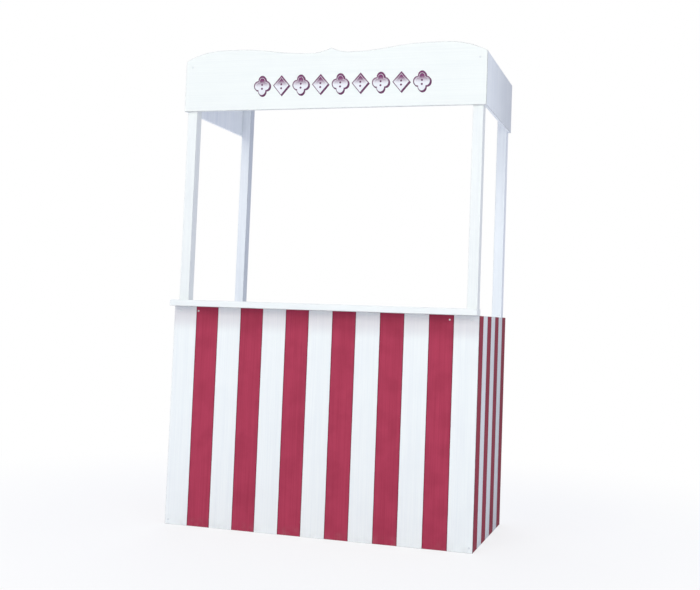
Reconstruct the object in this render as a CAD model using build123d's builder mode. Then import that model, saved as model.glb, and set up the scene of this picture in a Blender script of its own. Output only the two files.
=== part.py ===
from build123d import *
import os

os.makedirs("parts", exist_ok=True)

# Wooden market stall, white painted, with a striped base and a serpentine fascia.
# Millimetres. Z is up, the front faces -Y, X runs to the right seen from the front.
# The origin lies on the floor under the middle of the whole stall.

# Overall sizes
stall_width = 1350
base_depth = 620
counter_overhang = 50

# Timber and board sizes
post_side = 44
rail_depth = 44
board_thickness = 12
counter_thickness = 27
counter_board_width = 145

# Heights above the floor
counter_top_height = 965
fascia_underside = 1795

# Fascia boards: their height at the ends, and how far the front one rises above that
fascia_end_height = 223
hump_rise = 43
dip_rise = 16
crest_rise = 37

# Lengths along the top edge of the front fascia
shoulder_length = 175
crown_length = 60
dip_from_centre = 88

# The posts stop short of the top edge of the fascias
post_head_drop = 15

# Sanded arrises
timber_ease = 2
board_ease = 1
counter_ease = 3

# Sizes that follow from the ones above
half_width = stall_width / 2
counter_front_y = -(base_depth + counter_overhang) / 2
front_face_y = counter_front_y + counter_overhang
back_face_y = front_face_y + base_depth
frame_front_y = front_face_y + board_thickness
post_x = half_width - board_thickness - post_side / 2
front_post_y = frame_front_y + post_side / 2
rear_post_y = back_face_y - post_side / 2
cross_rail_length = 2 * post_x - post_side
side_rail_length = rear_post_y - front_post_y - post_side
side_rail_y = (front_post_y + rear_post_y) / 2
side_board_length = back_face_y - frame_front_y
side_board_y = (frame_front_y + back_face_y) / 2
side_board_x = half_width - board_thickness / 2
panel_height = counter_top_height - counter_thickness
top_rail_z = panel_height - rail_depth
fascia_end_z = fascia_underside + fascia_end_height
post_height = fascia_end_z - post_head_drop
header_z = post_height - rail_depth

# Four posts, square planed softwood standing on the floor at the corners
post_places = {
    "front_left_post": (-post_x, front_post_y),
    "front_right_post": (post_x, front_post_y),
    "rear_left_post": (-post_x, rear_post_y),
    "rear_right_post": (post_x, rear_post_y),
}
for post_name, post_place in post_places.items():
    with BuildPart() as post:
        with BuildSketch(Plane.XY) as post_section:
            with Locations(post_place):
                Rectangle(post_side, post_side)
        extrude(amount=post_height)
        fillet(post.edges().filter_by(Axis.Z), radius=timber_ease)
    post.part.label = post_name
    export_step(post.part, f"parts/{post_name}.step")

# Rails across the stall, cut to fit between the posts. The bottom one lies on the floor,
# the top one carries the counter, and the two headers tie the posts together.
# The back has no bottom or top rail, so the seller can walk in.
cross_rail_places = {
    "front_bottom_rail": (front_post_y, 0),
    "front_top_rail": (front_post_y, top_rail_z),
    "front_header_rail": (front_post_y, header_z),
    "rear_header_rail": (rear_post_y, header_z),
}
for cross_rail_name, (cross_rail_y, cross_rail_z) in cross_rail_places.items():
    with BuildPart() as cross_rail:
        with BuildSketch(Plane.XY.offset(cross_rail_z)) as cross_rail_section:
            with Locations((0, cross_rail_y)):
                Rectangle(cross_rail_length, post_side)
        extrude(amount=rail_depth)
        fillet(cross_rail.edges().filter_by(Axis.X), radius=timber_ease)
    cross_rail.part.label = cross_rail_name
    export_step(cross_rail.part, f"parts/{cross_rail_name}.step")

# Rails along the two sides, between the front and the rear posts
side_rail_places = {
    "left_bottom_rail": (-post_x, 0),
    "left_top_rail": (-post_x, top_rail_z),
    "left_header_rail": (-post_x, header_z),
    "right_bottom_rail": (post_x, 0),
    "right_top_rail": (post_x, top_rail_z),
    "right_header_rail": (post_x, header_z),
}
for side_rail_name, (side_rail_x, side_rail_z) in side_rail_places.items():
    with BuildPart() as side_rail:
        with BuildSketch(Plane.XY.offset(side_rail_z)) as side_rail_section:
            with Locations((side_rail_x, side_rail_y)):
                Rectangle(post_side, side_rail_length)
        extrude(amount=rail_depth)
        fillet(side_rail.edges().filter_by(Axis.Y), radius=timber_ease)
    side_rail.part.label = side_rail_name
    export_step(side_rail.part, f"parts/{side_rail_name}.step")

# Front panel, one plywood board from the floor to the underside of the counter
with BuildPart() as front_panel:
    with BuildSketch(Plane.XY) as front_panel_section:
        with Locations((0, front_face_y + board_thickness / 2)):
            Rectangle(stall_width, board_thickness)
    extrude(amount=panel_height)
    front_panel_arrises = front_panel.faces().sort_by(Axis.Y)[0].edges()
    fillet(front_panel_arrises, radius=board_ease)
front_panel.part.label = "front_panel"
export_step(front_panel.part, "parts/front_panel.step")

# Side boards, butted against the back of the front ones and screwed to the frame:
# a panel up to the counter and a plain fascia across the heads of the posts.
# Each place is the side that it faces, its lower edge and its height.
side_board_places = {
    "left_side_panel": (-1, 0, panel_height),
    "right_side_panel": (1, 0, panel_height),
    "left_fascia": (-1, fascia_underside, fascia_end_height),
    "right_fascia": (1, fascia_underside, fascia_end_height),
}
for side_board_name, (side, side_board_z, side_board_height) in side_board_places.items():
    with BuildPart() as side_board:
        with BuildSketch(Plane.XY.offset(side_board_z)) as side_board_section:
            with Locations((side * side_board_x, side_board_y)):
                Rectangle(board_thickness, side_board_length)
        extrude(amount=side_board_height)
        outer_face = side_board.faces().sort_by(Axis.X, reverse=side < 0)[-1]
        fillet(outer_face.edges(), radius=board_ease)
    side_board.part.label = side_board_name
    export_step(side_board.part, f"parts/{side_board_name}.step")

# Counter shelf, one planed board on the top edge of the front panel and the top rail.
# Its back corners are cut away round the two front posts, its long arrises are rounded.
counter_back_y = counter_front_y + counter_board_width
notch_width = board_thickness + post_side
notch_depth = counter_back_y - frame_front_y
with BuildPart() as counter_shelf:
    with BuildSketch(Plane.XY.offset(panel_height)) as counter_outline:
        with Locations((0, (counter_front_y + counter_back_y) / 2)):
            Rectangle(stall_width, counter_board_width)
        with Locations(
            (-half_width + notch_width / 2, counter_back_y - notch_depth / 2),
            (half_width - notch_width / 2, counter_back_y - notch_depth / 2),
        ):
            Rectangle(notch_width, notch_depth, mode=Mode.SUBTRACT)
    extrude(amount=counter_thickness)
    counter_front_arrises = counter_shelf.faces().sort_by(Axis.Y)[0].edges()
    fillet(counter_front_arrises, radius=counter_ease)
    counter_back_arrises = counter_shelf.faces().sort_by(Axis.Y)[-1].edges().filter_by(Axis.X)
    fillet(counter_back_arrises, radius=counter_ease)
counter_shelf.part.label = "counter_shelf"
export_step(counter_shelf.part, "parts/counter_shelf.step")

# Front fascia, a board sawn to a serpentine along the top.
# From each end a convex shoulder climbs to a level hump, an S of two equal tangent
# arcs falls to a shallow dip, and two hollow arcs meet in a point at the middle.
hump_z = fascia_end_z + hump_rise
dip_z = fascia_end_z + dip_rise
crest_z = fascia_end_z + crest_rise
shoulder_x = half_width - shoulder_length
hump_x = shoulder_x - crown_length
inflection_x = (hump_x + dip_from_centre) / 2
inflection_z = (hump_z + dip_z) / 2
with BuildPart() as front_fascia:
    with BuildSketch(Plane.XZ.offset(-frame_front_y)) as front_fascia_outline:
        with BuildLine() as right_half:
            Line((0, fascia_underside), (half_width, fascia_underside))
            Line((half_width, fascia_underside), (half_width, fascia_end_z))
            TangentArc((shoulder_x, hump_z), (half_width, fascia_end_z), tangent=(1, 0))
            Line((shoulder_x, hump_z), (hump_x, hump_z))
            TangentArc((hump_x, hump_z), (inflection_x, inflection_z), tangent=(-1, 0))
            TangentArc((dip_from_centre, dip_z), (inflection_x, inflection_z), tangent=(1, 0))
            TangentArc((dip_from_centre, dip_z), (0, crest_z), tangent=(-1, 0))
            Line((0, crest_z), (0, fascia_underside))
        make_face()
        mirror(about=Plane.YZ)
    extrude(amount=board_thickness)
    front_fascia_arrises = front_fascia.faces().sort_by(Axis.Y)[0].edges()
    fillet(front_fascia_arrises, radius=board_ease)
front_fascia.part.label = "front_fascia"
export_step(front_fascia.part, "parts/front_fascia.step")
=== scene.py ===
import math

import bmesh
import bpy
from mathutils import Matrix, Vector


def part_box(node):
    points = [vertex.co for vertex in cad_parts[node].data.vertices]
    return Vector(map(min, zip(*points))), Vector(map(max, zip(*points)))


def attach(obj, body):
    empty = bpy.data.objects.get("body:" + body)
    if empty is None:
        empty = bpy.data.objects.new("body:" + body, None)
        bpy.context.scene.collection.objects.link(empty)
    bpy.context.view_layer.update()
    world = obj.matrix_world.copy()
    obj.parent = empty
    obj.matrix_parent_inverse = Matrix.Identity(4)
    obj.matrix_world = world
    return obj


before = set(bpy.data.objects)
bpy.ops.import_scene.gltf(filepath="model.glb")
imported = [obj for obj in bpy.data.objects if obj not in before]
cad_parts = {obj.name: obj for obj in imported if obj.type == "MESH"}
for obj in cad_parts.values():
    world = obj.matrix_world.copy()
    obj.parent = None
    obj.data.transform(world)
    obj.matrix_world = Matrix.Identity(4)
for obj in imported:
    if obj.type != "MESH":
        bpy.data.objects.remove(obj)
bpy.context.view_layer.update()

# The studio: a wide pale floor keeps a soft contact shadow and fades to plain white away from
# the stall. A large soft lamp hangs high at the front left, a small one at the front right and
# a third behind, and a cool fill comes from all round, stronger from above.
FLOOR_SIZE = 60.0
FLOOR_TONE = (0.80, 0.80, 0.81, 1.0)
BACKGROUND_WHITE = (1.0, 1.0, 1.0, 1.0)
FLOOR_LIFT = 0.78
FADE_START = 0.9
FADE_END = 2.8
FILL_TONE = (0.605, 0.648, 0.825, 1.0)
FILL_LOW = 0.49
FILL_HIGH = 1.18
FRONT_LAMP_TONE = (0.98, 1.0, 0.89)
BACK_LAMP_TONE = (1.0, 0.97, 1.0)
LAMPS = {
    "front_softbox": {"place": (-2.0, -6.6, 4.1), "side": 4.2, "power": 224.0, "tone": FRONT_LAMP_TONE},
    "right_softbox": {"place": (3.3, -3.3, 2.2), "side": 2.0, "power": 40.0, "tone": FRONT_LAMP_TONE},
    "back_softbox": {"place": (-2.6, 5.6, 3.6), "side": 4.2, "power": 170.0, "tone": BACK_LAMP_TONE},
}
LAMP_AIM = Vector((0.0, 0.0, 0.95))


def add_node(tree, kind, inputs=None, **settings):
    """Adds a shader node. An input is a number, a colour or another node's output."""
    made = tree.nodes.new("ShaderNode" + kind)
    for setting, value in settings.items():
        setattr(made, setting, value)
    for socket, value in (inputs or {}).items():
        if isinstance(value, bpy.types.NodeSocket):
            tree.links.new(value, made.inputs[socket])
        else:
            made.inputs[socket].default_value = value
    return made


def arithmetic(tree, operation, first, second=0.0):
    """One sum on one or two values."""
    return add_node(tree, "Math", {0: first, 1: second}, operation=operation).outputs[0]


def ramp(tree, value, span, first=0.0, last=1.0):
    """Goes smoothly from first to last while a value goes from one end of a span to the other."""
    low, high = span
    wanted = {"Value": value, "From Min": low, "From Max": high, "To Min": first, "To Max": last}
    return add_node(tree, "MapRange", wanted, interpolation_type="SMOOTHSTEP").outputs[0]


def parts_of(tree, vector):
    """The X, Y and Z of a place, or of the way that a surface faces."""
    return add_node(tree, "SeparateXYZ", {0: vector}).outputs


def seen_in_picture(tree):
    """One where the camera, a reflection or clear glass looks at the surface."""
    path = add_node(tree, "LightPath").outputs
    direct = arithmetic(tree, "MAXIMUM", path["Is Camera Ray"], path["Is Glossy Ray"])
    return arithmetic(tree, "MAXIMUM", direct, path["Is Transmission Ray"])


floor_paint = bpy.data.materials.new("pale_floor")
floor_paint.use_nodes = True
floor_tree = floor_paint.node_tree
floor_tree.nodes.clear()
floor_place = add_node(floor_tree, "TexCoord").outputs["Object"]
floor_distance = add_node(floor_tree, "VectorMath", {0: floor_place}, operation="LENGTH").outputs["Value"]
floor_fade = ramp(floor_tree, floor_distance, (FADE_START, FADE_END), FLOOR_LIFT, 1.0)
floor_share = arithmetic(floor_tree, "MULTIPLY", floor_fade, seen_in_picture(floor_tree))
floor_matt = add_node(floor_tree, "BsdfDiffuse", {"Color": FLOOR_TONE}).outputs[0]
floor_glow = add_node(floor_tree, "Emission", {"Color": BACKGROUND_WHITE, "Strength": 1.0}).outputs[0]
floor_mix = add_node(floor_tree, "MixShader", {0: floor_share, 1: floor_matt, 2: floor_glow}).outputs[0]
add_node(floor_tree, "OutputMaterial", {"Surface": floor_mix})

floor_mesh = bmesh.new()
bmesh.ops.create_grid(floor_mesh, x_segments=1, y_segments=1, size=FLOOR_SIZE / 2)
floor_data = bpy.data.meshes.new("studio_floor")
floor_mesh.to_mesh(floor_data)
floor_mesh.free()
floor_data.materials.append(floor_paint)
floor = bpy.data.objects.new("studio_floor", floor_data)
bpy.context.scene.collection.objects.link(floor)

studio = bpy.data.worlds.new("studio")
studio.use_nodes = True
studio_tree = studio.node_tree
studio_tree.nodes.clear()
studio_way = add_node(studio_tree, "TexCoord").outputs["Generated"]
studio_height = parts_of(studio_tree, studio_way)["Z"]
studio_level = add_node(
    studio_tree,
    "MapRange",
    {"Value": studio_height, "From Min": 0.0, "From Max": 1.0, "To Min": FILL_LOW, "To Max": FILL_HIGH},
).outputs[0]
studio_fill = add_node(studio_tree, "Background", {"Color": FILL_TONE, "Strength": studio_level})
studio_white = add_node(studio_tree, "Background", {"Color": BACKGROUND_WHITE, "Strength": 1.0})
studio_mix = add_node(
    studio_tree,
    "MixShader",
    {0: seen_in_picture(studio_tree), 1: studio_fill.outputs[0], 2: studio_white.outputs[0]},
)
add_node(studio_tree, "OutputWorld", {"Surface": studio_mix.outputs[0]})
bpy.context.scene.world = studio
bpy.context.scene.view_settings.view_transform = "Standard"

for lamp_name, setting in LAMPS.items():
    lamp_data = bpy.data.lights.new(lamp_name, "AREA")
    lamp_data.shape = "SQUARE"
    lamp_data.size = setting["side"]
    lamp_data.energy = setting["power"]
    lamp_data.color = setting["tone"]
    lamp_place = Vector(setting["place"])
    lamp = bpy.data.objects.new(lamp_name, lamp_data)
    lamp.location = lamp_place
    lamp.rotation_mode = "QUATERNION"
    lamp.rotation_quaternion = (LAMP_AIM - lamp_place).to_track_quat("-Z", "Y")
    bpy.context.scene.collection.objects.link(lamp)

# The camera stands a little right of the stall at chest height and is held slightly tilted.
# Its place and lens were worked out from the edges of the photograph.
IMAGE_WIDTH = 700
IMAGE_HEIGHT = 590
SENSOR_WIDTH = 36.0
FOCAL_PIXELS = 1000.1
AXIS_COLUMN = 400.0
AXIS_ROW = 262.0
CAMERA_PLACE = Vector((1.4436, -4.2303, 0.9088))
CAMERA_YAW = math.radians(15.677)
CAMERA_PITCH = math.radians(3.340)
CAMERA_ROLL = math.radians(2.027)

camera_data = bpy.data.cameras.new("photo_camera")
camera_data.sensor_width = SENSOR_WIDTH
camera_data.lens = FOCAL_PIXELS / IMAGE_WIDTH * SENSOR_WIDTH
camera_data.shift_x = (IMAGE_WIDTH / 2 - AXIS_COLUMN) / IMAGE_WIDTH
camera_data.shift_y = (AXIS_ROW - IMAGE_HEIGHT / 2) / IMAGE_WIDTH
camera = bpy.data.objects.new("photo_camera", camera_data)
camera.matrix_world = (
    Matrix.Translation(CAMERA_PLACE)
    @ Matrix.Rotation(CAMERA_YAW, 4, "Z")
    @ Matrix.Rotation(math.pi / 2 + CAMERA_PITCH, 4, "X")
    @ Matrix.Rotation(CAMERA_ROLL, 4, "Z")
)
bpy.context.scene.collection.objects.link(camera)
bpy.context.scene.camera = camera

# Posts and rails: square planed softwood, sanded on the arrises and screwed together, in two
# coats of satin white brushed along each length. Bristle lines and a little grain show, the
# arrises are darkened grey and the feet pick up dust. The rear posts carry painted shade: a
# cooler white, and darker on the side that faces the middle.
ALONG_X = 0
ALONG_Y = 1
ALONG_Z = 2
TIMBER_WHITE = (0.850, 0.863, 0.832, 1.0)
TIMBER_SHADE = (0.735, 0.750, 0.750, 1.0)
# Painted shade: the rear posts' cooler white, and their darker inner sides.
REAR_SHADED_WHITE = (0.845, 0.870, 0.890, 1.0)
REAR_SHADED_THIN = (0.730, 0.755, 0.785, 1.0)
INSIDE_SHADE_TINT = (0.755, 0.770, 0.790, 1.0)
TURNED_ASIDE = 0.3
BRISTLE_LINES = 260.0
BRISTLE_RUN = 3.0
BRISTLE_DETAIL = 3.0
BRISTLE_SPAN = (0.42, 0.66)
BRISTLE_SHARE = 0.24
BRISTLE_DEPTH = 0.00016
BRISTLE_RELIEF = 0.8
GRAIN_LINES = 55.0
GRAIN_RUN = 1.1
GRAIN_DETAIL = 4.0
GRAIN_WAVER = 0.6
GRAIN_SPAN = (0.42, 0.72)
GRAIN_SHARE = 0.20
GRAIN_DEPTH = 0.00035
GRAIN_RELIEF = 0.7
PATCH_SCALE = 4.5
PATCH_DETAIL = 3.0
PATCH_SPAN = (0.46, 0.74)
PATCH_SHARE = 0.14
SATIN_SPAN = (0.25, 0.75)
SATIN_SMOOTH = 0.50
SATIN_DRY = 0.66
PAINT_SPECULAR = 0.28
ARRIS_GREY = (0.180, 0.182, 0.175, 1.0)
FULL_ON = 0.985
EDGE_ON = 0.17
ARRIS_PATCH_SCALE = 26.0
ARRIS_PATCH_DETAIL = 4.0
ARRIS_PATCH_SPAN = (0.35, 0.60)
TIMBER_ARRIS_DARKENING = 0.20
DUST = (0.36, 0.33, 0.29, 1.0)
DUST_HEIGHT = 0.05
DUST_SCALE = 38.0
DUST_DETAIL = 5.0
DUST_SPAN = (0.35, 0.80)
DUST_SHARE = 0.14


def blend_colours(tree, share, first, second, blend_type="MIX"):
    """A colour between two others, by a share from 0 to 1."""
    made = tree.nodes.new("ShaderNodeMix")
    made.data_type = "RGBA"
    made.blend_type = blend_type
    made.clamp_factor = True
    for socket, value in ((0, share), (6, first), (7, second)):
        if isinstance(value, bpy.types.NodeSocket):
            tree.links.new(value, made.inputs[socket])
        else:
            made.inputs[socket].default_value = value
    return made.outputs[2]


def even_noise(tree, place, scale, detail):
    """Noise that is as fine one way as the other."""
    return add_node(tree, "TexNoise", {"Vector": place, "Scale": scale, "Detail": detail}).outputs[0]


def drawn_out_noise(tree, place, along, lines, run, detail, waver=0.0):
    """Noise stretched along one axis: so many lines a metre across it, and so few along it."""
    scale = [lines, lines, lines]
    scale[along] = run
    stretched = add_node(tree, "Mapping", {"Vector": place, "Scale": scale}).outputs[0]
    wanted = {"Vector": stretched, "Scale": 1.0, "Detail": detail, "Distortion": waver}
    return add_node(tree, "TexNoise", wanted).outputs[0]


def away_from_middle(tree, place):
    """Above TURNED_ASIDE on the outside of what stands left or right of the middle, and below
    minus as much on the side that faces in."""
    facing = add_node(tree, "TexCoord").outputs["Normal"]
    return arithmetic(tree, "MULTIPLY", parts_of(tree, place)[ALONG_X], parts_of(tree, facing)[ALONG_X])


def arris_share(tree, place, arris_darkening, broad):
    """The share of darker grey on the rounded arrises. A board's are those round its broad face, and
    a post or rail, which has no broad face, is darkened wherever it looks FULL_ON along no axis."""
    facing = add_node(tree, "TexCoord").outputs["Normal"]
    unsigned = add_node(tree, "VectorMath", {0: facing}, operation="ABSOLUTE").outputs[0]
    parts = parts_of(tree, unsigned)
    if broad is None:
        squarest = arithmetic(tree, "MAXIMUM", parts[ALONG_X], parts[ALONG_Y])
        squarest = arithmetic(tree, "MAXIMUM", squarest, parts[ALONG_Z])
        rounded = arithmetic(tree, "LESS_THAN", squarest, FULL_ON)
    else:
        off_edge = arithmetic(tree, "GREATER_THAN", parts[broad], EDGE_ON)
        off_face = arithmetic(tree, "LESS_THAN", parts[broad], FULL_ON)
        rounded = arithmetic(tree, "MULTIPLY", off_edge, off_face)
    arris_patches = even_noise(tree, place, ARRIS_PATCH_SCALE, ARRIS_PATCH_DETAIL)
    return arithmetic(tree, "MULTIPLY", rounded, ramp(tree, arris_patches, ARRIS_PATCH_SPAN, arris_darkening / 2, arris_darkening))


def dust_share(tree, place):
    """The share of dust, which thins out to nothing a little above the floor."""
    low_down = ramp(tree, parts_of(tree, place)[ALONG_Z], (0.0, DUST_HEIGHT), 1.0, 0.0)
    specks = ramp(tree, even_noise(tree, place, DUST_SCALE, DUST_DETAIL), DUST_SPAN, 0.0, DUST_SHARE)
    return arithmetic(tree, "MULTIPLY", low_down, specks)


def relief(tree, height, depth=1.0, strength=1.0, under=None):
    """A surface raised by a height times a depth in metres, on top of another relief."""
    wanted = {"Height": height, "Strength": strength, "Distance": depth}
    if under is not None:
        wanted["Normal"] = under
    return add_node(tree, "Bump", wanted).outputs[0]


def brushed_paint(
    name,
    along,
    white,
    shade,
    arris_darkening=TIMBER_ARRIS_DARKENING,
    broad=None,
    dusty=True,
    specular=PAINT_SPECULAR,
    painted_shading=None,
    stripes=None,
):
    """Satin paint brushed along one axis. shade is what shows where the coat is thin, and broad
    the axis that a board's broad face looks along. The shading function, where given, paints
    shade: it darkens the paint from place to place. stripes lays bands of a second colour over
    the white."""
    paint = bpy.data.materials.new(name)
    paint.use_nodes = True
    tree = paint.node_tree
    shader = tree.nodes["Principled BSDF"]
    place = add_node(tree, "TexCoord").outputs["Object"]
    bristles = drawn_out_noise(tree, place, along, BRISTLE_LINES, BRISTLE_RUN, BRISTLE_DETAIL)
    grain = drawn_out_noise(tree, place, along, GRAIN_LINES, GRAIN_RUN, GRAIN_DETAIL, GRAIN_WAVER)
    patches = even_noise(tree, place, PATCH_SCALE, PATCH_DETAIL)
    surface = relief(tree, grain, GRAIN_DEPTH, GRAIN_RELIEF)
    surface = relief(tree, bristles, BRISTLE_DEPTH, BRISTLE_RELIEF, under=surface)
    colour, thin = white, shade
    if stripes is not None:
        colour, thin, thickness = stripes(tree, place, white, shade)
        surface = relief(tree, thickness, under=surface)
    colour = blend_colours(tree, ramp(tree, grain, GRAIN_SPAN, 0.0, GRAIN_SHARE), colour, thin)
    colour = blend_colours(tree, ramp(tree, patches, PATCH_SPAN, 0.0, PATCH_SHARE), colour, thin)
    colour = blend_colours(tree, ramp(tree, bristles, BRISTLE_SPAN, 0.0, BRISTLE_SHARE), colour, thin)
    # Painted shade from place to place, where a shading function is given.
    if painted_shading is not None:
        colour = painted_shading(tree, place, colour)
    # Darker grey along the rounded arrises, in patches.
    colour = blend_colours(tree, arris_share(tree, place, arris_darkening, broad), colour, ARRIS_GREY)
    if dusty:
        colour = blend_colours(tree, dust_share(tree, place), colour, DUST)
    rough = ramp(tree, bristles, SATIN_SPAN, SATIN_SMOOTH, SATIN_DRY)
    tree.links.new(colour, shader.inputs["Base Color"])
    tree.links.new(rough, shader.inputs["Roughness"])
    tree.links.new(surface, shader.inputs["Normal"])
    shader.inputs["Specular IOR Level"].default_value = specular
    return paint


def shaded_inside(tree, place, colour):
    """Painted shade: the paint is darker on the side that faces the middle of the stall."""
    inside = arithmetic(tree, "LESS_THAN", away_from_middle(tree, place), -TURNED_ASIDE)
    return blend_colours(tree, inside, colour, INSIDE_SHADE_TINT, "MULTIPLY")


def put_on(node_names, finish):
    """Gives CAD nodes one finish."""
    for node_name in node_names:
        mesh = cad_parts[node_name].data
        if len(mesh.materials):
            mesh.materials[0] = finish
        else:
            mesh.materials.append(finish)


upright_white = brushed_paint("upright_timber_white", ALONG_Z, TIMBER_WHITE, TIMBER_SHADE)
crossways_white = brushed_paint("cross_rail_white", ALONG_X, TIMBER_WHITE, TIMBER_SHADE)
sideways_white = brushed_paint("side_rail_white", ALONG_Y, TIMBER_WHITE, TIMBER_SHADE)
rear_upright_shaded_white = brushed_paint(
    "rear_upright_shaded_white", ALONG_Z, REAR_SHADED_WHITE, REAR_SHADED_THIN, painted_shading=shaded_inside
)
put_on(["front_left_post", "front_right_post"], upright_white)
put_on(["rear_left_post", "rear_right_post"], rear_upright_shaded_white)
put_on(["front_bottom_rail", "front_top_rail", "front_header_rail", "rear_header_rail"], crossways_white)
for side in ("left", "right"):
    put_on([f"{side}_bottom_rail", f"{side}_top_rail", f"{side}_header_rail"], sideways_white)

# Striped panels: 12 mm plywood screwed to the frame, painted white, then masked with tape and
# rolled raspberry red. The front has thirteen equal stripes, white at both ends, and each side
# seven, red at both ends. Its first one runs on over the front board's edge.
FRONT_STRIPES = 13
SIDE_STRIPES = 7
PANEL_WHITE = (0.875, 0.892, 0.866, 1.0)
PANEL_SHADE = (0.740, 0.765, 0.780, 1.0)
RASPBERRY = (0.430, 0.046, 0.092, 1.0)
RASPBERRY_SHADE = (0.270, 0.024, 0.052, 1.0)
# Painted shade: the side boards' red is a darker copy of the front's red.
SHADED_SIDE_RED = (0.330, 0.024, 0.056, 1.0)
SHADED_SIDE_RED_THIN = (0.230, 0.018, 0.040, 1.0)
STRIPE_SPECULAR = 0.10
SIDE_STRIPE_SPECULAR = 0.05
ROLLER_SCALE = 11.0
ROLLER_DETAIL = 6.0
ROLLER_SPAN = (0.40, 0.68)
ROLLER_SHARE = 0.30
TAPE_RUN = 9.0
TAPE_DETAIL = 2.0
NOISE_MIDDLE = 0.5
TAPE_WANDER = 0.0016
TAPE_BLEED = 0.0003
TAPE_LINE = (0.110, 0.012, 0.030, 1.0)
TAPE_LINE_WIDTH = 0.0046
TAPE_LINE_SHARE = 0.75
PAINT_BUILD = 0.00024
RIDGE_BUILD = 0.00012
RIDGE_REACH = 0.0012
FACES_THIS_WAY = 0.5
END_EDGE = 0.71
BOARD_ARRIS_DARKENING = 0.85
# Painted shade: the front panel darkens just below the counter's overhang.
SHELF_SHADE_TINT = (0.850, 0.810, 0.835, 1.0)
SHADE_AT_SHELF = 0.25
SHADE_FULL_FROM = 0.030
SHADE_FULL_TO = 0.045
SHADE_GONE = 0.115
# Painted shade: the outsides of the side boards darken towards the back.
BACK_SHADE_TINT = (0.78, 0.78, 0.79, 1.0)
BACK_SHADE_SPAN = (-0.30, 0.36)
panel_low, panel_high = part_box("front_panel")
front_stripe_width = (panel_high.x - panel_low.x) / FRONT_STRIPES
side_stripe_width = (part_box("right_side_panel")[1].y - panel_low.y) / SIDE_STRIPES
shelf_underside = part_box("counter_shelf")[0].z


def front_faces(tree, place, red_share):
    """Keeps the stripes on the front, and makes the board's two end edges red."""
    facing = parts_of(tree, add_node(tree, "TexCoord").outputs["Normal"])
    forward = arithmetic(tree, "LESS_THAN", facing[ALONG_Y], -FACES_THIS_WAY)
    end = arithmetic(tree, "GREATER_THAN", arithmetic(tree, "ABSOLUTE", facing[ALONG_X]), END_EDGE)
    return arithmetic(tree, "MAXIMUM", arithmetic(tree, "MULTIPLY", forward, red_share), end)


def outside_share(tree, place):
    """One on the outside of a left or right board, where it faces away from the middle."""
    return arithmetic(tree, "GREATER_THAN", away_from_middle(tree, place), TURNED_ASIDE)


def side_faces(tree, place, red_share):
    """Keeps the stripes on the outside of a left or right board."""
    return arithmetic(tree, "MULTIPLY", outside_share(tree, place), red_share)


def shaded_under_shelf(tree, place, colour):
    """Painted shade: the paint is darker a little below the counter's overhang, where its shadow falls.
    """
    drop = arithmetic(tree, "SUBTRACT", shelf_underside, parts_of(tree, place)[ALONG_Z])
    under_shelf = ramp(tree, drop, (0.0, SHADE_FULL_FROM), SHADE_AT_SHELF, 1.0)
    lower_down = ramp(tree, drop, (SHADE_FULL_TO, SHADE_GONE), 1.0, 0.0)
    shelf_shade_share = arithmetic(tree, "MULTIPLY", under_shelf, lower_down)
    return blend_colours(tree, shelf_shade_share, colour, SHELF_SHADE_TINT, "MULTIPLY")


def shaded_to_back(tree, place, colour):
    """Painted shade: the paint is darker towards the back of the stall, on the outside of a side board.
    """
    backward = ramp(tree, parts_of(tree, place)[ALONG_Y], BACK_SHADE_SPAN)
    back_shade_share = arithmetic(tree, "MULTIPLY", backward, outside_share(tree, place))
    return blend_colours(tree, back_shade_share, colour, BACK_SHADE_TINT, "MULTIPLY")


def masked_stripes(across, stripe_width, red_middle, striped_faces, red_paint, red_shade):
    """Red bands as wide as the white between them, one of them with its middle at red_middle.
    Their masked edges wander a little, and a dark line of paint has run in along the tape."""

    def stripes(tree, place, white, shade):
        wander = drawn_out_noise(tree, place, ALONG_Z, 0.0, TAPE_RUN, TAPE_DETAIL)
        aside = arithmetic(tree, "SUBTRACT", wander, NOISE_MIDDLE)
        wandered = arithmetic(tree, "MULTIPLY", aside, TAPE_WANDER)
        along = arithmetic(tree, "ADD", parts_of(tree, place)[across], wandered)
        from_red = arithmetic(tree, "SUBTRACT", along, red_middle)
        to_red = arithmetic(tree, "PINGPONG", from_red, stripe_width)
        past_edge = arithmetic(tree, "SUBTRACT", to_red, stripe_width / 2)
        red_share = ramp(tree, past_edge, (-TAPE_BLEED, TAPE_BLEED), 1.0, 0.0)
        red_share = striped_faces(tree, place, red_share)
        roller = even_noise(tree, place, ROLLER_SCALE, ROLLER_DETAIL)
        thin_share = ramp(tree, roller, ROLLER_SPAN, 0.0, ROLLER_SHARE)
        red = blend_colours(tree, thin_share, red_paint, red_shade)
        line_span = (-TAPE_LINE_WIDTH, -TAPE_LINE_WIDTH / 2)
        line_share = ramp(tree, past_edge, line_span, 0.0, TAPE_LINE_SHARE)
        red = blend_colours(tree, line_share, red, TAPE_LINE)
        full = blend_colours(tree, red_share, white, red)
        thin = blend_colours(tree, red_share, shade, red_shade)
        off_edge = arithmetic(tree, "ABSOLUTE", past_edge)
        ridge = ramp(tree, off_edge, (0.0, RIDGE_REACH), RIDGE_BUILD, 0.0)
        coat = arithmetic(tree, "MULTIPLY", red_share, PAINT_BUILD)
        thickness = arithmetic(tree, "ADD", coat, ridge)
        return full, thin, thickness

    return stripes


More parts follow.
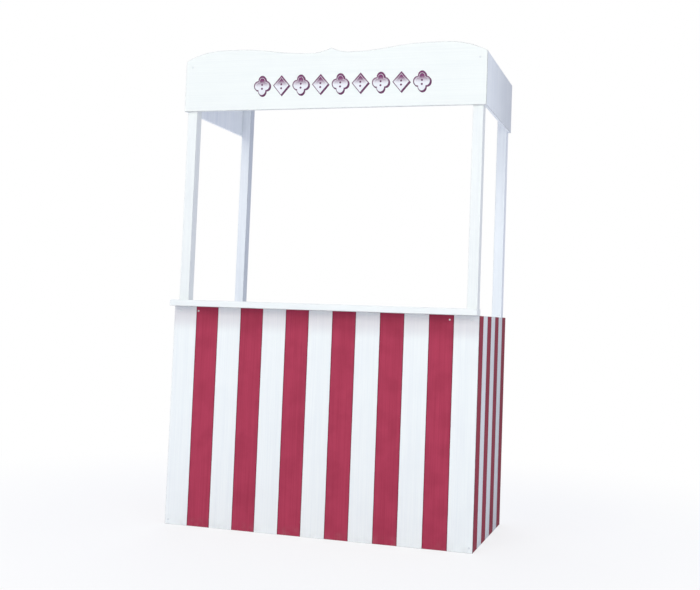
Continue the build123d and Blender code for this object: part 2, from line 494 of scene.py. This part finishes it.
front_stripes = brushed_paint(
    "front_panel_stripes",
    ALONG_Z,
    PANEL_WHITE,
    PANEL_SHADE,
    arris_darkening=BOARD_ARRIS_DARKENING,
    broad=ALONG_Y,
    specular=STRIPE_SPECULAR,
    painted_shading=shaded_under_shelf,
    stripes=masked_stripes(
        ALONG_X,
        front_stripe_width,
        front_stripe_width,
        front_faces,
        RASPBERRY,
        RASPBERRY_SHADE,
    ),
)
side_stripes = brushed_paint(
    "side_panel_shaded_stripes",
    ALONG_Z,
    PANEL_WHITE,
    PANEL_SHADE,
    arris_darkening=BOARD_ARRIS_DARKENING,
    broad=ALONG_X,
    specular=SIDE_STRIPE_SPECULAR,
    painted_shading=shaded_to_back,
    stripes=masked_stripes(
        ALONG_Y,
        side_stripe_width,
        panel_low.y + side_stripe_width / 2,
        side_faces,
        SHADED_SIDE_RED,
        SHADED_SIDE_RED_THIN,
    ),
)
put_on(["front_panel"], front_stripes)
put_on(["left_side_panel", "right_side_panel"], side_stripes)

# Counter shelf: one planed board with rounded long arrises, notched round the front posts and
# laid on the front panel and its rail. A third coat of the same white makes it a bit brighter.
COUNTER_WHITE = (0.862, 0.877, 0.845, 1.0)
COUNTER_SHADE = (0.760, 0.775, 0.775, 1.0)
COUNTER_ARRIS_DARKENING = 0.12
counter_white = brushed_paint(
    "counter_white",
    ALONG_X,
    COUNTER_WHITE,
    COUNTER_SHADE,
    arris_darkening=COUNTER_ARRIS_DARKENING,
    broad=ALONG_Z,
    dusty=False,
)
put_on(["counter_shelf"], counter_white)

# Fascias: 12 mm plywood screwed to the posts' heads. The front one is sawn to a serpentine and
# brushed along its length. The side ones are brushed upright, in a thinner and streakier coat;
# their white is painted lighter than the front's and their streaks a bluer grey, as painted
# light and shade, and they darken towards the back as painted shade.
FASCIA_WHITE = (0.852, 0.864, 0.822, 1.0)
FASCIA_SHADE = (0.765, 0.785, 0.768, 1.0)
FASCIA_ARRIS_DARKENING = 0.95
# Painted light and shade: a lighter white for the side fascias, with bluer grey streaks.
SIDE_FASCIA_LIT_WHITE = (0.940, 0.965, 0.960, 1.0)
SIDE_FASCIA_SHADED_THIN = (0.640, 0.690, 0.750, 1.0)
front_fascia_white = brushed_paint(
    "front_fascia_white",
    ALONG_X,
    FASCIA_WHITE,
    FASCIA_SHADE,
    arris_darkening=FASCIA_ARRIS_DARKENING,
    broad=ALONG_Y,
    dusty=False,
)
side_fascia_lit_and_shaded_white = brushed_paint(
    "side_fascia_lit_and_shaded_white",
    ALONG_Z,
    SIDE_FASCIA_LIT_WHITE,
    SIDE_FASCIA_SHADED_THIN,
    arris_darkening=BOARD_ARRIS_DARKENING,
    broad=ALONG_X,
    dusty=False,
    painted_shading=shaded_to_back,
)
put_on(["front_fascia"], front_fascia_white)
put_on(["left_fascia", "right_fascia"], side_fascia_lit_and_shaded_white)

# Painted ornaments: a row of nine quatrefoils and lozenges in turn, stencilled on the fascia in
# thick enamel, coat over coat: a shadow set off to the lower right, a dark outline, a plum face
# that pales to white downwards, a fine white line inside it, and two dots.
MOTIF_COUNT = 9
MOTIF_HEIGHT = 0.088
MOTIF_WIDTH = 0.076
MOTIF_SIDES = 96
LEAF_RADIUS = 0.47
ROW_FROM_LEFT = 0.327
ROW_FROM_RIGHT = 0.234
ROW_MIDDLE_UP = 0.104
SHADOW_STEP = Vector((0.0040, 0.0, -0.0045))
OUTLINE_WIDTH = 0.0042
INNER_LINE_IN = 0.0055
INNER_LINE_WIDTH = 0.0012
DOT_RADIUS = 0.0044
DOT_RISES = (0.004, -0.013)
SHADOW_COAT = 0.0003
OUTLINE_COAT = 0.0006
FACE_COAT = 0.0009
TOP_COAT = 0.0012
ENAMEL_DARK = (0.110, 0.022, 0.075, 1.0)
ENAMEL_SHADOW = (0.150, 0.045, 0.120, 1.0)
ENAMEL_PLUM = (0.215, 0.038, 0.140, 1.0)
ENAMEL_PALE = (0.800, 0.790, 0.815, 1.0)
POOLING_SCALE = 160.0
POOLING_DETAIL = 3.0
POOLING_SPAN = (0.35, 0.70)
POOLING_DEPTH = 0.0002
POOLING_RELIEF = 0.4
ENAMEL_SPAN = (0.3, 0.7)
ENAMEL_SMOOTH = 0.38
ENAMEL_DRY = 0.50
ENAMEL_SPECULAR = 0.15
FADE_FOOT = -0.10 * MOTIF_HEIGHT
FADE_HEAD = 0.28 * MOTIF_HEIGHT
FADE_RAGGED = 0.008
fascia_low, fascia_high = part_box("front_fascia")
row_left = fascia_low.x + ROW_FROM_LEFT
row_right = fascia_high.x - ROW_FROM_RIGHT
row_middle_z = fascia_low.z + ROW_MIDDLE_UP
motif_pitch = (row_right - row_left - MOTIF_WIDTH) / (MOTIF_COUNT - 1)


def quatrefoil(turn):
    """How far the edge of four round leaves in a cross is from the middle, one at the most."""
    leaf_middle = 1.0 - LEAF_RADIUS
    from_leaf = (turn + math.pi / 4) % (math.pi / 2) - math.pi / 4
    aside = leaf_middle * math.sin(from_leaf)
    return leaf_middle * math.cos(from_leaf) + math.sqrt(LEAF_RADIUS**2 - aside**2)


def lozenge(turn):
    """How far the edge of a square stood on one corner is from the middle, one at the most."""
    return 1.0 / (abs(math.cos(turn)) + abs(math.sin(turn)))


def dot(turn):
    """How far the edge of a round dot is from the middle, one at every turn."""
    return 1.0


def stencil_motif(mesh, shape, middle, half_width, half_height, coat, line=None):
    """Lays one motif of a coat on the fascia: a flat shape, raised by the coat's thickness.
    With a line width it is only a line round the shape's edge."""
    disc = bmesh.ops.create_circle(mesh, cap_ends=True, segments=MOTIF_SIDES, radius=1.0)
    for corner in disc["verts"]:
        corner.co *= shape(math.atan2(corner.co.y, corner.co.x))
    upright = Matrix.Translation(middle) @ Matrix.Rotation(math.pi / 2, 4, "X")
    sized = upright @ Matrix.Diagonal((half_width, half_height, 1.0, 1.0))
    bmesh.ops.transform(mesh, matrix=sized, verts=disc["verts"])
    painted = list({face for corner in disc["verts"] for face in corner.link_faces})
    if line is not None:
        mesh.normal_update()
        band = bmesh.ops.inset_region(
            mesh, faces=painted, thickness=line, use_boundary=True, use_even_offset=True
        )
        bmesh.ops.delete(mesh, geom=painted, context="FACES")
        painted = band["faces"]
    raised = bmesh.ops.extrude_face_region(mesh, geom=painted, use_keep_orig=True)
    raised_corners = [part for part in raised["geom"] if isinstance(part, bmesh.types.BMVert)]
    bmesh.ops.translate(mesh, vec=Vector((0.0, -coat, 0.0)), verts=raised_corners)


def finish_piece(name, mesh, finish):
    """Makes an object of a mesh that is already in place, and rides it on the stall."""
    bmesh.ops.recalc_face_normals(mesh, faces=mesh.faces)
    data = bpy.data.meshes.new(name)
    mesh.to_mesh(data)
    mesh.free()
    data.materials.append(finish)
    piece = bpy.data.objects.new(name, data)
    bpy.context.scene.collection.objects.link(piece)
    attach(piece, "root")


def enamel(name, tone, shade, foot_tone=None):
    """Enamel with a low sheen and a little pooling, which may pale towards a motif's foot."""
    paint = bpy.data.materials.new(name)
    paint.use_nodes = True
    tree = paint.node_tree
    shader = tree.nodes["Principled BSDF"]
    place = add_node(tree, "TexCoord").outputs["Object"]
    pooling = even_noise(tree, place, POOLING_SCALE, POOLING_DETAIL)
    colour = blend_colours(tree, ramp(tree, pooling, POOLING_SPAN), tone, shade)
    if foot_tone is not None:
        pooled = arithmetic(tree, "SUBTRACT", pooling, NOISE_MIDDLE)
        ragged = arithmetic(tree, "MULTIPLY", pooled, FADE_RAGGED)
        level = arithmetic(tree, "ADD", parts_of(tree, place)[ALONG_Z], ragged)
        fade_span = (row_middle_z + FADE_FOOT, row_middle_z + FADE_HEAD)
        colour = blend_colours(tree, ramp(tree, level, fade_span, 1.0, 0.0), colour, foot_tone)
    rough = ramp(tree, pooling, ENAMEL_SPAN, ENAMEL_SMOOTH, ENAMEL_DRY)
    surface = relief(tree, pooling, POOLING_DEPTH, POOLING_RELIEF)
    tree.links.new(colour, shader.inputs["Base Color"])
    tree.links.new(rough, shader.inputs["Roughness"])
    tree.links.new(surface, shader.inputs["Normal"])
    shader.inputs["Specular IOR Level"].default_value = ENAMEL_SPECULAR
    return paint


shadow_mesh = bmesh.new()
outline_mesh = bmesh.new()
face_mesh = bmesh.new()
line_mesh = bmesh.new()
dot_mesh = bmesh.new()
for motif in range(MOTIF_COUNT):
    shape = quatrefoil if motif % 2 == 0 else lozenge
    middle = Vector((row_left + MOTIF_WIDTH / 2 + motif * motif_pitch, fascia_low.y, row_middle_z))
    half_width = MOTIF_WIDTH / 2
    half_height = MOTIF_HEIGHT / 2
    stencil_motif(shadow_mesh, shape, middle + SHADOW_STEP, half_width, half_height, SHADOW_COAT)
    stencil_motif(outline_mesh, shape, middle, half_width, half_height, OUTLINE_COAT)
    face_width = half_width - OUTLINE_WIDTH
    face_height = half_height - OUTLINE_WIDTH
    stencil_motif(face_mesh, shape, middle, face_width, face_height, FACE_COAT)
    line_width = face_width - INNER_LINE_IN
    line_height = face_height - INNER_LINE_IN
    stencil_motif(line_mesh, shape, middle, line_width, line_height, TOP_COAT, INNER_LINE_WIDTH)
    for dot_rise in DOT_RISES:
        dot_middle = middle + Vector((0.0, 0.0, dot_rise))
        stencil_motif(dot_mesh, dot, dot_middle, DOT_RADIUS, DOT_RADIUS, TOP_COAT)
shadow_enamel = enamel("shadow_enamel", ENAMEL_SHADOW, ENAMEL_DARK)
outline_enamel = enamel("outline_enamel", ENAMEL_DARK, ENAMEL_SHADOW)
face_enamel = enamel("face_enamel", ENAMEL_PLUM, ENAMEL_SHADOW, ENAMEL_PALE)
line_enamel = enamel("line_enamel", ENAMEL_PALE, FASCIA_WHITE)
dot_enamel = enamel("dot_enamel", ENAMEL_DARK, ENAMEL_SHADOW)
finish_piece("ornament_shadows", shadow_mesh, shadow_enamel)
finish_piece("ornament_outlines", outline_mesh, outline_enamel)
finish_piece("ornament_faces", face_mesh, face_enamel)
finish_piece("ornament_lines", line_mesh, line_enamel)
finish_piece("ornament_dots", dot_mesh, dot_enamel)

# Screws: zinc-plated wood screws with a cross recess, heads proud of the board by a millimetre.
# Two bright ones hold the front panel to its top rail. Six more, painted over with the boards,
# hold the front panel's corners and the front fascia to the posts.
HEAD_RADIUS = 0.0042
HEAD_TOP_RADIUS = 0.003024
HEAD_HEIGHT = 0.0012
HEAD_SIDES = 24
RIM_ROUNDING = 0.00036
RIM_SEGMENTS = 3
RECESS_ARM = 0.0024
RECESS_WIDTH = 0.0008
RECESS_DEPTH = 0.0008
BRIGHT_FROM_LEFT = 0.113
BRIGHT_FROM_RIGHT = 0.122
PANEL_SCREW_DOWN = 0.019
TOP_SCREW_IN = 0.030
FOOT_SCREW_IN = 0.015
FOOT_SCREW_UP = 0.020
FASCIA_SCREW_IN = 0.030
FASCIA_SCREW_DOWN = 0.027
BRIGHT_TURN = 0.3
BRIGHT_TURN_STEP = 1.0
PANEL_TURN_STEP = 0.5
FASCIA_TURN_STEP = 0.8
ZINC = (0.62, 0.63, 0.64, 1.0)
ZINC_DULL = (0.40, 0.41, 0.43, 1.0)
ZINC_SCALE = 900.0
ZINC_DETAIL = 3.0
ZINC_CLOUD_SPAN = (0.35, 0.7)
ZINC_SPAN = (0.3, 0.7)
ZINC_SMOOTH = 0.28
ZINC_ROUGH = 0.45


def shape_screw_head():
    """One screw head looking along +Z, with its cross recess cut by a boolean."""
    head = bmesh.new()
    bmesh.ops.create_cone(
        head,
        cap_ends=True,
        segments=HEAD_SIDES,
        radius1=HEAD_RADIUS,
        radius2=HEAD_TOP_RADIUS,
        depth=HEAD_HEIGHT,
        matrix=Matrix.Translation((0.0, 0.0, HEAD_HEIGHT / 2)),
    )
    rim = [edge for edge in head.edges if all(end.co.z > HEAD_HEIGHT / 2 for end in edge.verts)]
    bmesh.ops.bevel(
        head,
        geom=rim,
        offset=RIM_ROUNDING,
        offset_type="OFFSET",
        segments=RIM_SEGMENTS,
        profile=0.5,
        affect="EDGES",
        material=-1,
    )
    head_data = bpy.data.meshes.new("screw_head")
    head.to_mesh(head_data)
    head.free()
    cross = bmesh.new()
    for bar_width, bar_height in ((RECESS_ARM * 2, RECESS_WIDTH), (RECESS_WIDTH, RECESS_ARM * 2)):
        bar = bmesh.ops.create_cube(cross, size=1.0)
        sized = Matrix.Diagonal((bar_width, bar_height, RECESS_DEPTH * 2, 1.0))
        seated = Matrix.Translation((0.0, 0.0, HEAD_HEIGHT)) @ sized
        bmesh.ops.transform(cross, matrix=seated, verts=bar["verts"])
    cross_data = bpy.data.meshes.new("screw_recess")
    cross.to_mesh(cross_data)
    cross.free()
    head_piece = bpy.data.objects.new("screw_head", head_data)
    cross_piece = bpy.data.objects.new("screw_recess", cross_data)
    for piece in (head_piece, cross_piece):
        bpy.context.scene.collection.objects.link(piece)
    cut = head_piece.modifiers.new("recess", "BOOLEAN")
    cut.operation = "DIFFERENCE"
    cut.solver = "EXACT"
    cut.use_self = True
    cut.object = cross_piece
    bpy.context.view_layer.update()
    shaped = head_piece.evaluated_get(bpy.context.evaluated_depsgraph_get())
    finished_head = bpy.data.meshes.new_from_object(shaped)
    for piece in (head_piece, cross_piece):
        bpy.data.objects.remove(piece)
    return finished_head


screw_head = shape_screw_head()
look_forwards = Vector((0.0, -1.0, 0.0)).to_track_quat("Z", "Y").to_matrix().to_4x4()


def drive_screws(places, first_turn, turn_step):
    """A mesh of screw heads in a forward face, each one's recess turned on from the last one's."""
    mesh = bmesh.new()
    for number, place in enumerate(places):
        before = set(mesh.verts)
        mesh.from_mesh(screw_head)
        fresh = [corner for corner in mesh.verts if corner not in before]
        turned = Matrix.Rotation(first_turn + number * turn_step, 4, "Z")
        bmesh.ops.transform(mesh, matrix=Matrix.Translation(place) @ look_forwards @ turned, verts=fresh)
    return mesh


zinc = bpy.data.materials.new("zinc_plate")
zinc.use_nodes = True
zinc_tree = zinc.node_tree
zinc_shader = zinc_tree.nodes["Principled BSDF"]
zinc_place = add_node(zinc_tree, "TexCoord").outputs["Object"]
zinc_clouds = even_noise(zinc_tree, zinc_place, ZINC_SCALE, ZINC_DETAIL)
zinc_colour = blend_colours(zinc_tree, ramp(zinc_tree, zinc_clouds, ZINC_CLOUD_SPAN), ZINC, ZINC_DULL)
zinc_rough = ramp(zinc_tree, zinc_clouds, ZINC_SPAN, ZINC_SMOOTH, ZINC_ROUGH)
zinc_tree.links.new(zinc_colour, zinc_shader.inputs["Base Color"])
zinc_tree.links.new(zinc_rough, zinc_shader.inputs["Roughness"])
zinc_shader.inputs["Metallic"].default_value = 1.0

panel_screw_z = panel_high.z - PANEL_SCREW_DOWN
bright_places = [
    Vector((panel_low.x + BRIGHT_FROM_LEFT, panel_low.y, panel_screw_z)),
    Vector((panel_high.x - BRIGHT_FROM_RIGHT, panel_low.y, panel_screw_z)),
]
bright_mesh = drive_screws(bright_places, BRIGHT_TURN, BRIGHT_TURN_STEP)
finish_piece("panel_bright_screws", bright_mesh, zinc)

screw_white = brushed_paint("painted_screw_white", ALONG_X, COUNTER_SHADE, TIMBER_SHADE, dusty=False)
panel_places = [
    Vector((panel_low.x + TOP_SCREW_IN, panel_low.y, panel_screw_z)),
    Vector((panel_high.x - TOP_SCREW_IN, panel_low.y, panel_screw_z)),
    Vector((panel_low.x + FOOT_SCREW_IN, panel_low.y, panel_low.z + FOOT_SCREW_UP)),
    Vector((panel_high.x - FOOT_SCREW_IN, panel_low.y, panel_low.z + FOOT_SCREW_UP)),
]
panel_mesh = drive_screws(panel_places, 0.0, PANEL_TURN_STEP)
finish_piece("panel_painted_screws", panel_mesh, screw_white)

fascia_screw_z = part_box("right_fascia")[1].z - FASCIA_SCREW_DOWN
fascia_places = [
    Vector((fascia_low.x + FASCIA_SCREW_IN, fascia_low.y, fascia_screw_z)),
    Vector((fascia_high.x - FASCIA_SCREW_IN, fascia_low.y, fascia_screw_z)),
]
fascia_mesh = drive_screws(fascia_places, 0.0, FASCIA_TURN_STEP)
finish_piece("fascia_painted_screws", fascia_mesh, screw_white)
